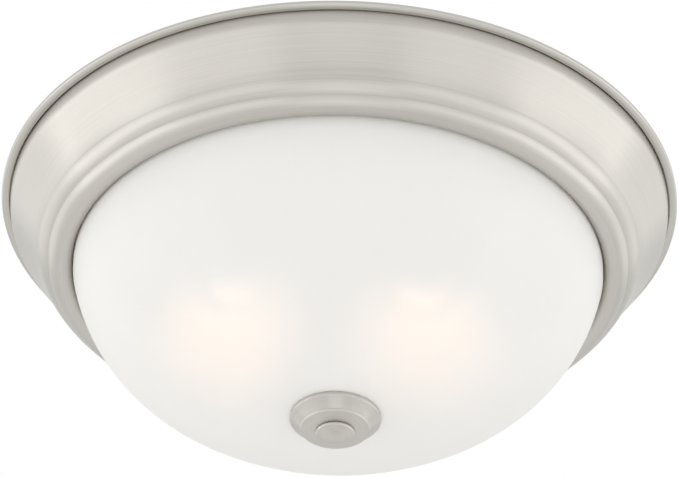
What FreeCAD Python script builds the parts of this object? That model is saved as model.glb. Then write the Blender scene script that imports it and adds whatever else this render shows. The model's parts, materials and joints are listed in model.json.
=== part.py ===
import FreeCAD, Part
import math
import os
import re
import Sketcher

# Flush mount ceiling light with two lamps.
# Millimetres. The ceiling is the plane z = 0, +Z points up, and the light hangs below it on the Z axis.
# Outlines of round pieces are drawn as (distance from the axis, depth below the ceiling).
# Outlines in a lamp's own frame are drawn as (distance from its axis, distance from the globe's centre).

Vector = FreeCAD.Vector
Placement = FreeCAD.Placement
Rotation = FreeCAD.Rotation

SIZES = {
    # pan: a spun steel dish, open to the ceiling
    "rim_radius": 165.1,
    "sheet_wall": 0.9,
    "arc_margin": 0.001,
    "hem_width": 1.8,
    "hem_drop": 4.0,
    "hem_gap": 2.0,
    "shoulder_depth": 7.0,
    "shoulder_radius": 6.8,
    "shoulder_step": 1.3,
    "shoulder_drop": 3.4,
    "upper_groove_inset": 17.5,
    "upper_groove_rise": 13.1,
    "lower_groove_inset": 23.0,
    "lower_groove_rise": 5.8,
    "bead_radius": 12.0,
    "roll_radius": 8.6,
    "lip_inset": 31.1,
    "lip_bend": 1.2,
    "pan_depth": 43.8,
    "recess_height": 8.8,
    # glass bowl
    "shade_inset": 36.3,
    "shade_clearance": 0.6,
    "seat_gap": 0.3,
    "neck_rise": 0.5,
    "bowl_rise": 17.55,
    "bowl_depth": 100.35,
    "bowl_side_radius": 85.0,
    "glass_wall": 3.0,
    "shade_hole_radius": 6.2,
    # threaded tube that carries the bowl
    "rod_radius": 4.85,
    "rod_bore": 3.2,
    "rod_rise": 11.0,
    "rod_reach": 9.2,
    "rod_chamfer": 0.6,
    "rod_clearance": 0.25,
    "rod_nut_width": 14.3,
    "rod_nut_height": 4.6,
    "rod_washer_radius": 8.6,
    "rod_washer_height": 0.9,
    # grommet in the bowl's hole
    "grommet_radius": 11.0,
    "grommet_flange": 1.7,
    "grommet_clearance": 0.3,
    # stepped cap and knob
    "cap_radius": 21.9,
    "cap_wall": 0.8,
    "cap_edge": 1.5,
    "cap_tier_radius": 16.6,
    "cap_tier_drop": 5.2,
    "cap_seat_drop": 7.5,
    "cap_hub_clearance": 0.3,
    "cap_bend": 0.6,
    "cap_tier_bend": 1.8,
    "cap_corner": 1.2,
    "knob_radius": 9.7,
    "knob_hub_radius": 7.0,
    "knob_edge": 1.3,
    "knob_dome": 2.8,
    "knob_thread_clearance": 0.08,
    "knob_bore_margin": 0.9,
    # lamps and their places
    "lamp_offset": 47.0,
    "lamp_sidestep": 4.7,
    "lamp_depth": 69.0,
    "globe_radius": 30.0,
    "globe_turn": 12.7,
    "neck_radius": 19.5,
    "neck_start": 29.0,
    "neck_bend": 69.0,
    "collar_radius": 13.4,
    "collar_place": 47.3,
    "envelope_wall": 0.8,
    "envelope_end": 56.0,
    "lamp_cap_radius": 12.95,
    "lamp_cap_wall": 0.3,
    "lamp_cap_start": 48.9,
    "lamp_cap_length": 18.0,
    "lamp_cap_cone": 4.0,
    "lamp_cap_end_radius": 9.4,
    "insulator_height": 3.4,
    "lamp_tip_radius": 4.6,
    "lamp_tip_height": 1.9,
    "stem_radius": 4.0,
    "stem_length": 25.0,
    "stem_flare": 1.2,
    "filament_span": 10.0,
    "filament_wire": 0.45,
    # sockets
    "socket_radius": 18.0,
    "socket_mouth": 47.3,
    "socket_length": 36.7,
    "socket_floor": 4.5,
    "socket_bevel": 2.0,
    "socket_back_inset": 56.3,
    "shell_clearance": 0.35,
    "shell_wall": 0.4,
    "shell_inset": 2.0,
    "shell_floor_radius": 9.6,
    "tongue_width": 5.0,
    "tongue_wall": 0.5,
    "tongue_reach": 8.0,
    "fit_clearance": 0.1,
    "head_taper": 0.65,
    # brackets that hold the sockets to the plate
    "bracket_width": 22.0,
    "bracket_wall": 1.5,
    "bracket_foot": 26.0,
    "bracket_tail": 9.0,
    "bracket_bend": 1.4,
    "rivet_radius": 1.6,
    "rivet_head": 3.0,
    "rivet_head_height": 1.0,
    "rivet_spacing": 12.0,
    "rivet_inset": 6.0,
    "socket_screw_radius": 1.9,
    "socket_screw_head": 3.6,
    "socket_screw_head_height": 2.0,
    "socket_screw_length": 4.0,
    # strap, studs and nuts that hold the pan to the ceiling
    "bar_length": 116.0,
    "bar_width": 22.0,
    "bar_wall": 1.6,
    "bar_corner": 4.0,
    "bar_center_hole": 5.2,
    "box_slot_spacing": 79.5,
    "box_slot_radius": 2.4,
    "box_slot_length": 14.3,
    "stud_spacing": 104.0,
    "stud_radius": 2.05,
    "stud_clearance": 0.35,
    "stud_reach": 6.0,
    "stud_nut_width": 8.7,
    "stud_nut_height": 3.2,
    "cap_nut_height": 9.0,
    "cap_nut_hex": 4.6,
    "cap_nut_dome_share": 0.94,
    "nut_bevel_share": 0.08,
    # ground wire and its screws
    "ground_screw_radius": 2.0,
    "ground_head_radius": 4.2,
    "ground_head_height": 2.3,
    "ground_wire_radius": 0.65,
    "ground_bar_place": 22.0,
    "ground_pan_x": 23.3,
    "ground_pan_y": 12.0,
    "ground_screw_reach": 3.0,
    # leads, bushings and twist-on connectors
    "lead_radius": 1.2,
    "lead_spread": 4.0,
    "lead_hole_spread": 1.68,
    "lead_inset": 10.0,
    "lead_drop": 8.0,
    "lead_black_depth": 21.5,
    "lead_white_depth": 14.0,
    "lead_pair_gap": 0.4,
    "lead_bend": 8.4,
    "lead_bend_share": 0.45,
    "bushing_x": 16.2,
    "bushing_y": 38.2,
    "bushing_bore": 4.2,
    "bushing_wall": 0.75,
    "bushing_flange": 1.3,
    "bushing_flange_height": 1.2,
    "wire_nut_place": 24.0,
    "wire_nut_length": 20.0,
    "wire_nut_radius": 5.5,
    "wire_nut_tip": 3.6,
    "wire_nut_bevel": 0.8,
    "wire_nut_bore": 3.1,
    "wire_nut_bore_depth": 12.0,
    # glass fibre pad above the plate
    "pad_side_gap": 4.1,
    "pad_hole_radius": 57.0,
    "pad_height": 18.0,
    "pad_pocket_clearance": 0.8,
}

# Places that several pieces share, worked out from the sizes above.
PLACES = {
    "plate_depth": "pan_depth - recess_height",
    "plate_top": "plate_depth - sheet_wall",
    "shade_radius": "rim_radius - shade_inset",
    "neck_end": "pan_depth - neck_rise",
    "bowl_center": "pan_depth - bowl_rise",
    "bowl_radius": "shade_radius + bowl_side_radius"
    " - sqrt(bowl_side_radius ^ 2 - (neck_end - bowl_center) ^ 2)",
    "crown_radius": "(bowl_radius ^ 2 + bowl_depth ^ 2 - 2 * bowl_radius * bowl_side_radius)"
    " / (2 * (bowl_depth - bowl_side_radius))",
    "crown_share": "bowl_side_radius / (crown_radius - bowl_side_radius)",
    "join_radius": "(bowl_radius - bowl_side_radius) * (1 + crown_share)",
    "join_depth": "bowl_center + (crown_radius - bowl_depth) * crown_share",
    "shade_bottom": "bowl_center + bowl_depth",
    "crown_center": "shade_bottom - crown_radius",
    "wall_radius": "rim_radius - hem_width - hem_gap",
    "recess_radius": "shade_radius + shade_clearance",
    "grommet_bottom": "shade_bottom + grommet_flange",
    "knob_top": "grommet_bottom + seat_gap",
    "cap_seat": "shade_bottom + cap_seat_drop",
    "cap_top": "crown_center + sqrt(crown_radius ^ 2 - cap_radius ^ 2) + seat_gap",
    "knob_shoulder": "cap_seat + fit_clearance",
    "rod_end": "shade_bottom + rod_reach",
    "lamp_cap_end": "lamp_cap_start + lamp_cap_length + lamp_cap_cone",
    "lamp_tip_start": "lamp_cap_end + insulator_height",
    "lamp_tip_end": "lamp_tip_start + fit_clearance + lamp_tip_height",
    "shell_radius": "lamp_cap_radius + shell_clearance",
    "socket_bore": "shell_radius + shell_wall + fit_clearance",
    "socket_end": "socket_mouth + socket_length",
    "socket_inner_end": "socket_end - socket_floor",
    "stem_end": "envelope_end - stem_length - stem_flare",
    "bracket_top": "lamp_depth - plate_depth",
    "rivet_place": "socket_end + bracket_wall - bracket_foot + rivet_inset",
    "lamp_shift": "socket_end + bracket_wall + socket_screw_head_height - shade_radius + socket_back_inset",
    "bushing_radius": "bushing_bore + bushing_wall",
    "pad_radius": "rim_radius - lower_groove_inset - pad_side_gap",
}

UPRIGHT = Rotation(Vector(1, 0, 0), -90)
HALF_TURN = Rotation(Vector(0, 0, 1), 180)
SIDES = {"left": -1, "right": 1}
ROUND_CORNERS = 0
SHARP_CORNERS = 2

doc = FreeCAD.newDocument("FlushMountLight")
sheet = doc.addObject("Spreadsheet::Sheet", "Sizes")
nodes = {}


def fill_sheet():
    """Puts each size and each shared place in its own named cell."""
    rows = list(SIZES.items()) + list(PLACES.items())
    for row, (word, content) in enumerate(rows, start=1):
        cell = f"B{row}"
        sheet.set(f"A{row}", word)
        sheet.set(cell, f"={content}" if word in PLACES else str(content))
        sheet.setAlias(cell, word)
    doc.recompute()


def bound(expression):
    """The expression with each size's name pointing at its cell."""
    named = re.sub(r"[a-z_]{4,}", lambda word: "Sizes." + word.group(), expression)
    return named.replace("Sizes.sqrt", "sqrt")


def size(expression):
    """The number that an expression of sizes gives."""
    return float(sheet.evalExpression(expression))


def bind(owner, **properties):
    """Ties properties of an object to expressions of sizes; a double underscore stands for a dot."""
    for name, expression in properties.items():
        owner.setExpression(name.replace("__", "."), bound(expression))


def add(kind, name, **links):
    """A new object of the document, with its plain properties set."""
    made = doc.addObject(kind, name)
    for key, content in links.items():
        setattr(made, key, content)
    return made


def node(name, made):
    """Labels an object as a sub-part."""
    made.Label = name
    nodes[name] = made
    return made


def place(made, rotation=Rotation(), x="0", y="0", z="0"):
    """Turns an object and ties its position to the sizes."""
    made.Placement = Placement(Vector(size(x), size(y), size(z)), rotation)
    bind(made, Placement__Base__x=x, Placement__Base__y=y, Placement__Base__z=z)
    return made


def arc_middle(start, end, radius):
    """The middle of the short arc from start to end; a positive radius bulges to the right of the way."""
    chord = end - start
    sagitta = abs(radius) - math.sqrt(radius ** 2 - (chord.Length / 2) ** 2)
    sideways = Vector(chord.y, -chord.x, 0).normalize()
    return (start + end) / 2 + sideways * math.copysign(sagitta, radius)


def dome_radius(reach, rise):
    """The radius of the ball whose cap has a given edge radius and height."""
    return f"({reach} ^ 2 + {rise} ^ 2) / (2 * {rise})"


def draw(sketch, corners, bends=None, closed=True):
    """Draws an outline through corners; bends gives an arc's radius for the edge that leaves a corner."""
    bends = bends or {}
    points = [Vector(size(across), size(along), 0) for across, along in corners]
    count = len(points) if closed else len(points) - 1
    first = sketch.GeometryCount
    heads = []
    tails = []
    for index in range(count):
        start = points[index]
        end = points[(index + 1) % len(points)]
        radius = bends.get(index)
        if radius is None:
            sketch.addGeometry(Part.LineSegment(start, end))
        else:
            sketch.addGeometry(Part.Arc(start, arc_middle(start, end, size(radius)), end))
        clockwise = radius is not None and size(radius) < 0
        heads.append((first + index, 2 if clockwise else 1))
        tails.append((first + index, 1 if clockwise else 2))
    for index in range(count if closed else count - 1):
        sketch.addConstraint(Sketcher.Constraint("Coincident", *tails[index], *heads[(index + 1) % count]))
    pins = heads if closed else heads + [tails[-1]]
    for pin, (across, along) in zip(pins, corners):
        fix(sketch, "DistanceX", (-1, 1, *pin), across)
        fix(sketch, "DistanceY", (-1, 1, *pin), along)
    for index, radius in bends.items():
        sign = "-1 * " if size(radius) < 0 else ""
        fix(sketch, "Radius", (first + index,), f"{sign}({radius})")


def fix(sketch, kind, where, expression):
    """Adds a dimension that follows an expression of sizes."""
    number = sketch.addConstraint(Sketcher.Constraint(kind, *where, size(expression)))
    sketch.setExpression(f"Constraints[{number}]", bound(expression))


def draw_circle(sketch, x, y, radius):
    """Draws a circle at a place."""
    index = sketch.addGeometry(Part.Circle(Vector(size(x), size(y), 0), Vector(0, 0, 1), size(radius)))
    fix(sketch, "DistanceX", (-1, 1, index, 3), x)
    fix(sketch, "DistanceY", (-1, 1, index, 3), y)
    fix(sketch, "Radius", (index,), radius)


def outline(name, corners, bends=None, closed=True):
    """A sketch of its own with one outline."""
    sketch = add("Sketcher::SketchObject", name)
    draw(sketch, corners, bends, closed)
    return sketch


def turned(name, corners, bends=None):
    """A solid turned about the outline's own upright axis."""
    profile = outline(name + "_outline", corners, bends)
    return add("Part::Revolution", name + "_turned", Source=profile, Axis=Vector(0, 1, 0), Solid=True)


def spun(name, corners, bends, wall, join=SHARP_CORNERS):
    """A thin round shell: a line whose wall lies to the right of its way, turned about the upright axis."""
    line = outline(name + "_line", corners, bends, closed=False)
    strip = add("Part::Offset2D", name + "_strip", Source=line, Mode="Skin", Fill=True, Join=join)
    bind(strip, Value=wall)
    return add("Part::Revolution", name + "_spun", Source=strip, Axis=Vector(0, 1, 0), Solid=True)


def cylinder(name, radius, height, x="0", y="0", z="0", rotation=Rotation()):
    """A plain round bar, mostly a tool for a hole."""
    bar = add("Part::Cylinder", name)
    bind(bar, Radius=radius, Height=height)
    return place(bar, rotation, x, y, z)


def cut(name, base, tools):
    """The base with tools taken out of it."""
    tool = tools[0] if len(tools) == 1 else add("Part::MultiFuse", name + "_tools", Shapes=tools)
    return add("Part::Cut", name + "_cut", Base=base, Tool=tool)


def hex_piece(name, width, height, corners, bends=None):
    """A hexagonal piece: a prism kept only inside a turned outline that gives its bevels and bore."""
    prism = add("Part::Prism", name + "_hexagon", Polygon=6)
    bind(prism, Circumradius=f"({width}) / sqrt(3)", Height=height)
    prism.Placement = Placement(Vector(), Rotation(Vector(1, 0, 0), -90))
    lathe = turned(name, corners, bends)
    return add("Part::Common", name + "_common", Base=prism, Tool=lathe)


def origin_plane(body, role):
    """One of a body's own origin planes."""
    return next(plane for plane in body.Origin.OriginFeatures if plane.Role == role)


def body_sketch(body, name, role):
    """An empty sketch on one of a body's origin planes."""
    sketch = body.newObject("Sketcher::SketchObject", name)
    sketch.AttachmentSupport = [(origin_plane(body, role), "")]
    sketch.MapMode = "FlatFace"
    return sketch


def pad(body, name, sketch, length, **options):
    """Raises a sketch by a length."""
    feature = body.newObject("PartDesign::Pad", name)
    feature.Profile = sketch
    for key, content in options.items():
        setattr(feature, key, content)
    bind(feature, Length=length)
    return feature


def pocket(body, name, sketch):
    """Cuts a sketch right through, both ways."""
    feature = body.newObject("PartDesign::Pocket", name)
    feature.Profile = sketch
    feature.Type = "ThroughAll"
    feature.SideType = "Symmetric"
    return feature


def lamp_axis(sign):
    """The distance of one lamp's axis from the YZ plane."""
    return f"{sign} * lamp_offset - lamp_sidestep"


def in_lamp_place(made, sign):
    """Puts a piece drawn in a lamp's own frame at one lamp, with the base towards -Y."""
    return place(made, HALF_TURN, lamp_axis(sign), "lamp_shift", "-1 * lamp_depth")


def both_sides(name, build):
    """Builds a piece of a lamp or socket twice, one for each side."""
    for side, sign in SIDES.items():
        node(f"{name}_{side}", in_lamp_place(build(f"{name}_{side}"), sign))


def rounded_path(points, radii):
    """A wire of straight runs joined by tangent arcs, one radius for each inner point."""
    edges = []
    start = points[0]
    for index, radius in enumerate(radii, start=1):
        corner = points[index]
        back = (points[index - 1] - corner).normalize()
        ahead = (points[index + 1] - corner).normalize()
        half = back.getAngle(ahead) / 2
        reach = radius / math.tan(half)
        middle = corner + (back + ahead).normalize() * (radius / math.sin(half) - radius)
        edges.append(Part.LineSegment(start, corner + back * reach).toShape())
        edges.append(Part.Arc(corner + back * reach, middle, corner + ahead * reach).toShape())
        start = corner + ahead * reach
    edges.append(Part.LineSegment(start, points[-1]).toShape())
    return Part.Wire(edges)


def wire_along(points, radii, radius):
    """A round wire that follows a path."""
    path = rounded_path(points, radii)
    section = Part.Wire([Part.makeCircle(radius, points[0], (points[1] - points[0]).normalize())])
    return path.makePipeShell([section], True, True)


# ---------------------------------------------------------------- pan


def pan():
    """The spun dish: plate, recess for the glass, rolled lip, two grooves, sloped wall and folded rim."""
    corners = [
        ("0", "plate_depth"),
        ("recess_radius", "plate_depth"),
        ("recess_radius", "pan_depth - lip_bend"),
        ("recess_radius + lip_bend", "pan_depth"),
        ("rim_radius - lip_inset", "pan_depth"),
        ("rim_radius - lower_groove_inset", "pan_depth - lower_groove_rise"),
        ("rim_radius - upper_groove_inset", "pan_depth - upper_groove_rise"),
        ("wall_radius - shoulder_step", "shoulder_depth + shoulder_drop"),
        ("wall_radius", "shoulder_depth"),
        ("wall_radius", "sheet_wall"),
        ("rim_radius - hem_width / 2", "sheet_wall"),
    ]
    bends = {2: "-1 * lip_bend", 4: "-1 * roll_radius", 5: "-1 * bead_radius", 7: "-1 * shoulder_radius"}
    dish = spun("pan", corners, bends, "sheet_wall")
    hem_corners = [
        ("rim_radius - hem_width", "0"),
        ("rim_radius", "0"),
        ("rim_radius", "hem_drop - hem_width / 2"),
        ("rim_radius - hem_width / 2", "hem_drop"),
        ("rim_radius - hem_width", "hem_drop - hem_width / 2"),
    ]
    hem = turned("hem", hem_corners, {2: "hem_width / 2 + arc_margin", 3: "hem_width / 2 + arc_margin"})
    shell = add("Part::Fuse", "pan_shell", Base=dish, Tool=hem)
    place(shell, UPRIGHT)
    return cut("pan", shell, pan_holes())


def pan_holes():
    """Tools for every hole in the plate: rod, studs, bushings, rivets and ground screw."""
    spots = [("rod", "rod_radius + rod_clearance", "0", "0")]
    spots.append(("ground", "ground_screw_radius + fit_clearance", "ground_pan_x", "ground_pan_y"))
    for side, sign in SIDES.items():
        spots.append((f"stud_{side}", "stud_radius + stud_clearance", "0", f"{sign} * stud_spacing / 2"))
        spots.append((f"bushing_{side}", "bushing_radius + fit_clearance / 2", *bushing_spot(sign)))
        for number, x, y in rivet_spots(sign):
            spots.append((f"rivet_{side}_{number}", "rivet_radius + fit_clearance / 2", x, y))
    holes = []
    low = "-1 * plate_depth - sheet_wall"
    for word, radius, x, y in spots:
        holes.append(cylinder(f"hole_{word}", radius, "3 * sheet_wall", x, y, low))
    return holes


def bushing_spot(sign):
    """Where the leads of one socket pass the plate."""
    return f"{sign} * bushing_x", "-1 * bushing_y"


def rivet_spots(sign):
    """The two rivets of one bracket."""
    spots = []
    for number, across in enumerate((-1, 1), start=1):
        x = f"{lamp_axis(sign)} + {across} * rivet_spacing / 2"
        spots.append((number, x, "lamp_shift - rivet_place"))
    return spots


# ---------------------------------------------------------------- strap and studs


def mounting_bar():
    """The flat strap that screws to the ceiling box: two box slots, tapped holes and a centre hole."""
    body = add("PartDesign::Body", "mounting_bar")
    plan = body_sketch(body, "bar_plan", "XY_Plane")
    half_width = "bar_width / 2"
    half_length = "bar_length / 2"
    corners = []
    for across, along in ((1, 1), (-1, 1), (-1, -1), (1, -1)):
        side = (f"{across} * {half_width}", f"{along} * ({half_length} - bar_corner)")
        end = (f"{across} * ({half_width} - bar_corner)", f"{along} * {half_length}")
        corners += [side, end] if across == along else [end, side]
    draw(plan, corners, {index: "bar_corner" for index in (0, 2, 4, 6)})
    pad(body, "bar_pad", plan, "bar_wall", Reversed=True)
    middle = body_sketch(body, "bar_middle", "XY_Plane")
    draw_circle(middle, "0", "0", "bar_center_hole")
    draw_circle(middle, "0", "ground_bar_place", "ground_screw_radius + fit_clearance / 2")
    pocket(body, "bar_middle_holes", middle)
    ends = body_sketch(body, "bar_end", "XY_Plane")
    draw_circle(ends, "0", "stud_spacing / 2", "stud_radius + fit_clearance / 2")
    run = "(box_slot_length / 2 - box_slot_radius)"
    slot = [
        ("box_slot_radius", f"box_slot_spacing / 2 - {run}"),
        ("box_slot_radius", f"box_slot_spacing / 2 + {run}"),
        ("-1 * box_slot_radius", f"box_slot_spacing / 2 + {run}"),
        ("-1 * box_slot_radius", f"box_slot_spacing / 2 - {run}"),
    ]
    draw(ends, slot, {1: "box_slot_radius + arc_margin", 3: "box_slot_radius + arc_margin"})
    end_holes = pocket(body, "bar_end_holes", ends)
    mirror = body.newObject("PartDesign::Mirrored", "bar_other_end")
    mirror.Originals = [end_holes]
    mirror.MirrorPlane = (origin_plane(body, "XZ_Plane"), [""])
    body.Tip = mirror
    node("mounting_bar", body)


def pair_of(name, build):
    """A node of two like pieces, at the two studs."""
    pieces = []
    for side, sign in SIDES.items():
        made = build(f"{name}_{side}")
        place(made, UPRIGHT, "0", f"{sign} * stud_spacing / 2", "0")
        pieces.append(made)
    node(name, add("Part::Compound", name, Links=pieces))


def studs_and_nuts():
    """The two studs, the nuts that lock them to the strap and the cap nuts under the plate."""
    end = "plate_depth + stud_reach"
    stud = [
        ("0", "0"),
        ("stud_radius", "0"),
        ("stud_radius", f"{end} - stud_radius / 4"),
        ("stud_radius * 3 / 4", end),
        ("0", end),
    ]
    pair_of("mounting_studs", lambda name: turned(name, stud))
    lock = ("stud_nut_width", "stud_nut_height", "stud_radius", "bar_wall")
    pair_of("stud_locknuts", lambda name: nut(name, *lock))
    pair_of("cap_nuts", cap_nut)


def nut_outline(width, top, height, bore):
    """A nut's half section: bore, and bevels that clip the corners of its hexagon."""
    flat = f"({width}) / 2"
    corner = f"({width}) / sqrt(3) + fit_clearance"
    bevel = f"({width}) * nut_bevel_share"
    return [
        (bore, top),
        (flat, top),
        (corner, f"{top} + {bevel}"),
        (corner, f"{top} + {height} - {bevel}"),
        (flat, f"{top} + {height}"),
        (bore, f"{top} + {height}"),
    ]


def nut(name, width, height, radius, top):
    """A hexagon nut whose upper face lies at a depth."""
    corners = nut_outline(width, top, height, f"{radius} + fit_clearance / 2")
    return hex_piece(name, width, f"{top} + {height}", corners)


def cap_nut(name):
    """A domed nut, open at the top and closed below."""
    top = "plate_depth"
    flat = "stud_nut_width / 2"
    shoulder = f"{flat} * cap_nut_dome_share"
    corner = "stud_nut_width / sqrt(3) + fit_clearance"
    bevel = "stud_nut_width * nut_bevel_share"
    bore = "stud_radius + fit_clearance / 2"
    hexagon_end = f"{top} + cap_nut_hex"
    corners = [
        (bore, top),
        (flat, top),
        (corner, f"{top} + {bevel}"),
        (corner, f"{hexagon_end} - {bevel}"),
        (shoulder, hexagon_end),
        ("0", f"{top} + cap_nut_height"),
        ("0", f"{top} + stud_reach + fit_clearance"),
        (bore, f"{top} + stud_reach + fit_clearance"),
    ]
    dome = dome_radius(f"({shoulder})", "(cap_nut_height - cap_nut_hex)")
    return hex_piece(name, "stud_nut_width", f"{top} + cap_nut_height", corners, {4: dome})


# ---------------------------------------------------------------- rod, glass and finial


def center_rod():
    """The threaded tube from the plate down to the knob."""
    top = "plate_depth - rod_rise"
    corners = [
        ("rod_bore", top),
        ("rod_radius - rod_chamfer", top),
        ("rod_radius", f"{top} + rod_chamfer"),
        ("rod_radius", "rod_end - rod_chamfer"),
        ("rod_radius - rod_chamfer", "rod_end"),
        ("rod_bore", "rod_end"),
    ]
    node("center_rod", place(turned("center_rod", corners), UPRIGHT))
    washer_top = "plate_top - rod_washer_height"
    node("rod_lock_washer", place(lock_washer(washer_top), UPRIGHT))
    nut_top = f"{washer_top} - rod_nut_height"
    for name, depth in (("rod_nut_upper", nut_top), ("rod_nut_lower", "plate_depth")):
        made = nut(name, "rod_nut_width", "rod_nut_height", "rod_radius", depth)
        node(name, place(made, UPRIGHT))


def lock_washer(top):
    """A flat ring with the slit of a spring washer."""
    inner = "rod_radius + fit_clearance"
    bottom = f"{top} + rod_washer_height"
    corners = [(inner, top), ("rod_washer_radius", top), ("rod_washer_radius", bottom), (inner, bottom)]
    ring = turned("washer_ring", corners)
    slit = add("Part::Box", "washer_slit")
    bind(slit, Length="rod_washer_radius", Width="plate_depth", Height="rod_washer_height")
    place(slit, Rotation(), "0", "0", "-1 * rod_washer_height / 2")
    return cut("rod_lock_washer", ring, [slit])


def glass_shade():
    """The bowl: a short straight neck, a side and a crown that meet tangent, and a centre hole."""
    corners = [
        ("shade_hole_radius", "crown_center + sqrt(crown_radius ^ 2 - shade_hole_radius ^ 2)"),
        ("join_radius", "join_depth"),
        ("shade_radius", "neck_end"),
        ("shade_radius", "plate_depth + seat_gap"),
    ]
    bends = {0: "-1 * crown_radius", 1: "-1 * bowl_side_radius"}
    node("glass_shade", place(spun("glass_shade", corners, bends, "glass_wall"), UPRIGHT))


def shade_grommet():
    """The rubber ring that keeps the glass off the rod and spreads the knob's push."""
    inner = "rod_radius + grommet_clearance"
    corners = [
        (inner, "shade_bottom - glass_wall"),
        ("shade_hole_radius - grommet_clearance", "shade_bottom - glass_wall"),
        ("shade_hole_radius - grommet_clearance", "shade_bottom"),
        ("grommet_radius", "shade_bottom"),
        ("grommet_radius", "grommet_bottom"),
        (inner, "grommet_bottom"),
    ]
    node("shade_grommet", place(turned("shade_grommet", corners), UPRIGHT))


def finial_cap():
    """The stamped cap: an upright edge, a slope to a tier, and a flatter slope to the knob's seat."""
    edge_end = "cap_top + cap_edge"
    tier = "shade_bottom + cap_tier_drop"
    corners = [
        ("knob_hub_radius + cap_hub_clearance", "cap_seat"),
        ("knob_radius + cap_bend", "cap_seat"),
        ("cap_tier_radius - cap_bend", f"{tier} + cap_bend"),
        ("cap_tier_radius + cap_bend", f"{tier} - cap_bend"),
        ("cap_radius - cap_bend", f"{edge_end} + cap_bend"),
        ("cap_radius", edge_end),
        ("cap_radius", "cap_top"),
    ]
    bends = {2: "-1 * cap_tier_bend", 4: "-1 * cap_corner"}
    node("finial_cap", place(spun("finial_cap", corners, bends, "cap_wall"), UPRIGHT))


def finial_knob():
    """The knob: a threaded hub that reaches up through the cap to the grommet, and a domed head."""
    bore = "rod_radius + knob_thread_clearance"
    bore_end = "rod_end + knob_bore_margin"
    bevel = "knob_edge / 4"
    edge_end = "knob_shoulder + knob_edge"
    corners = [
        (bore, "knob_top"),
        ("knob_hub_radius", "knob_top"),
        ("knob_hub_radius", "knob_shoulder"),
        (f"knob_radius - {bevel}", "knob_shoulder"),
        ("knob_radius", f"knob_shoulder + {bevel}"),
        ("knob_radius", edge_end),
        ("0", f"{edge_end} + knob_dome"),
        ("0", bore_end),
        (bore, bore_end),
    ]
    dome = dome_radius("knob_radius", "knob_dome")
    node("finial_knob", place(turned("finial_knob", corners, {5: dome}), UPRIGHT))


# ---------------------------------------------------------------- lamps


def bulb_glass(name):
    """The blown envelope: globe, shoulder, waist and the collar that goes into the cap."""
    globe_edge = "sqrt(globe_radius ^ 2 - globe_turn ^ 2)"
    inside = "lamp_cap_radius - lamp_cap_wall - fit_clearance"
    corners = [
        (inside, "envelope_end"),
        (inside, "lamp_cap_start - fit_clearance"),
        ("collar_radius", "collar_place"),
        ("neck_radius", "neck_start"),
        (globe_edge, "globe_turn"),
        ("globe_radius", "0"),
        ("0", "-1 * globe_radius"),
    ]
    bends = {2: "neck_bend", 4: "-1 * globe_radius", 5: "-1 * globe_radius"}
    return spun(name, corners, bends, "envelope_wall", ROUND_CORNERS)


def bulb_cap(name):
    """The brass or aluminium screw cap."""
    corners = [
        ("lamp_cap_end_radius", "lamp_cap_end"),
        ("lamp_cap_radius", "lamp_cap_start + lamp_cap_length"),
        ("lamp_cap_radius", "lamp_cap_start"),
    ]
    return spun(name, corners, None, "lamp_cap_wall")


def bulb_insulator(name):
    """The black glass between cap and tip."""
    radius = "lamp_cap_end_radius - lamp_cap_wall - fit_clearance"
    corners = [
        ("0", "lamp_cap_end + fit_clearance"),
        (radius, "lamp_cap_end + fit_clearance"),
        (radius, "lamp_cap_end + insulator_height / 3"),
        ("lamp_tip_radius", "lamp_tip_start"),
        ("0", "lamp_tip_start"),
    ]
    return turned(name, corners)


def bulb_contact(name):
    """The solder button at the lamp's end."""
    start = "lamp_tip_start + fit_clearance"
    corners = [
        ("0", start),
        ("lamp_tip_radius", start),
        ("lamp_tip_radius", f"{start} + lamp_tip_height / 3"),
        ("lamp_tip_radius * 2 / 3", "lamp_tip_end"),
        ("0", "lamp_tip_end"),
    ]
    return turned(name, corners)


def bulb_stem(name):
    """The glass stem that closes the envelope and carries the filament."""
    flare = "lamp_cap_radius - lamp_cap_wall - envelope_wall - 3 * fit_clearance"
    corners = [
        ("0", "stem_end"),
        ("stem_radius * 2 / 3", "stem_end"),
        ("stem_radius", "stem_end + stem_radius"),
        ("stem_radius", "envelope_end - 3 * stem_flare"),
        (flare, "envelope_end - stem_flare"),
        (flare, "envelope_end"),
        ("0", "envelope_end"),
    ]
    return turned(name, corners)


def bulb_filament(name):
    """The lead-in wires and the filament across their ends, one bent wire."""
    foot = size("stem_radius") / 3
    span = size("filament_span")
    end = size("stem_end - filament_wire / 2")
    points = [Vector(-foot, end, 0), Vector(-span, 0, 0), Vector(span, 0, 0), Vector(foot, end, 0)]
    bend = 4 * size("filament_wire")
    made = add("Part::Feature", name)
    made.Shape = wire_along(points, [bend, bend], size("filament_wire"))
    return made


# ---------------------------------------------------------------- sockets


def socket_body(name):
    """The porcelain cup, with a screw hole in its floor."""
    screw = "socket_screw_radius + fit_clearance / 2"
    corners = [
        (screw, "socket_inner_end"),
        ("socket_bore", "socket_inner_end"),
        ("socket_bore", "socket_mouth"),
        ("socket_radius - socket_bevel", "socket_mouth"),
        ("socket_radius", "socket_mouth + socket_bevel"),
        ("socket_radius", "socket_end - socket_bevel"),
        ("socket_radius - socket_bevel", "socket_end"),
        (screw, "socket_end"),
    ]
    return turned(name, corners)


def socket_shell(name):
    """The screw shell that lines the cup."""
    corners = [
        ("shell_radius", "socket_mouth + shell_inset"),
        ("shell_radius", "socket_inner_end - fit_clearance - shell_wall"),
        ("shell_floor_radius", "socket_inner_end - fit_clearance - shell_wall"),
    ]
    return spun(name, corners, None, "shell_wall")


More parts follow.
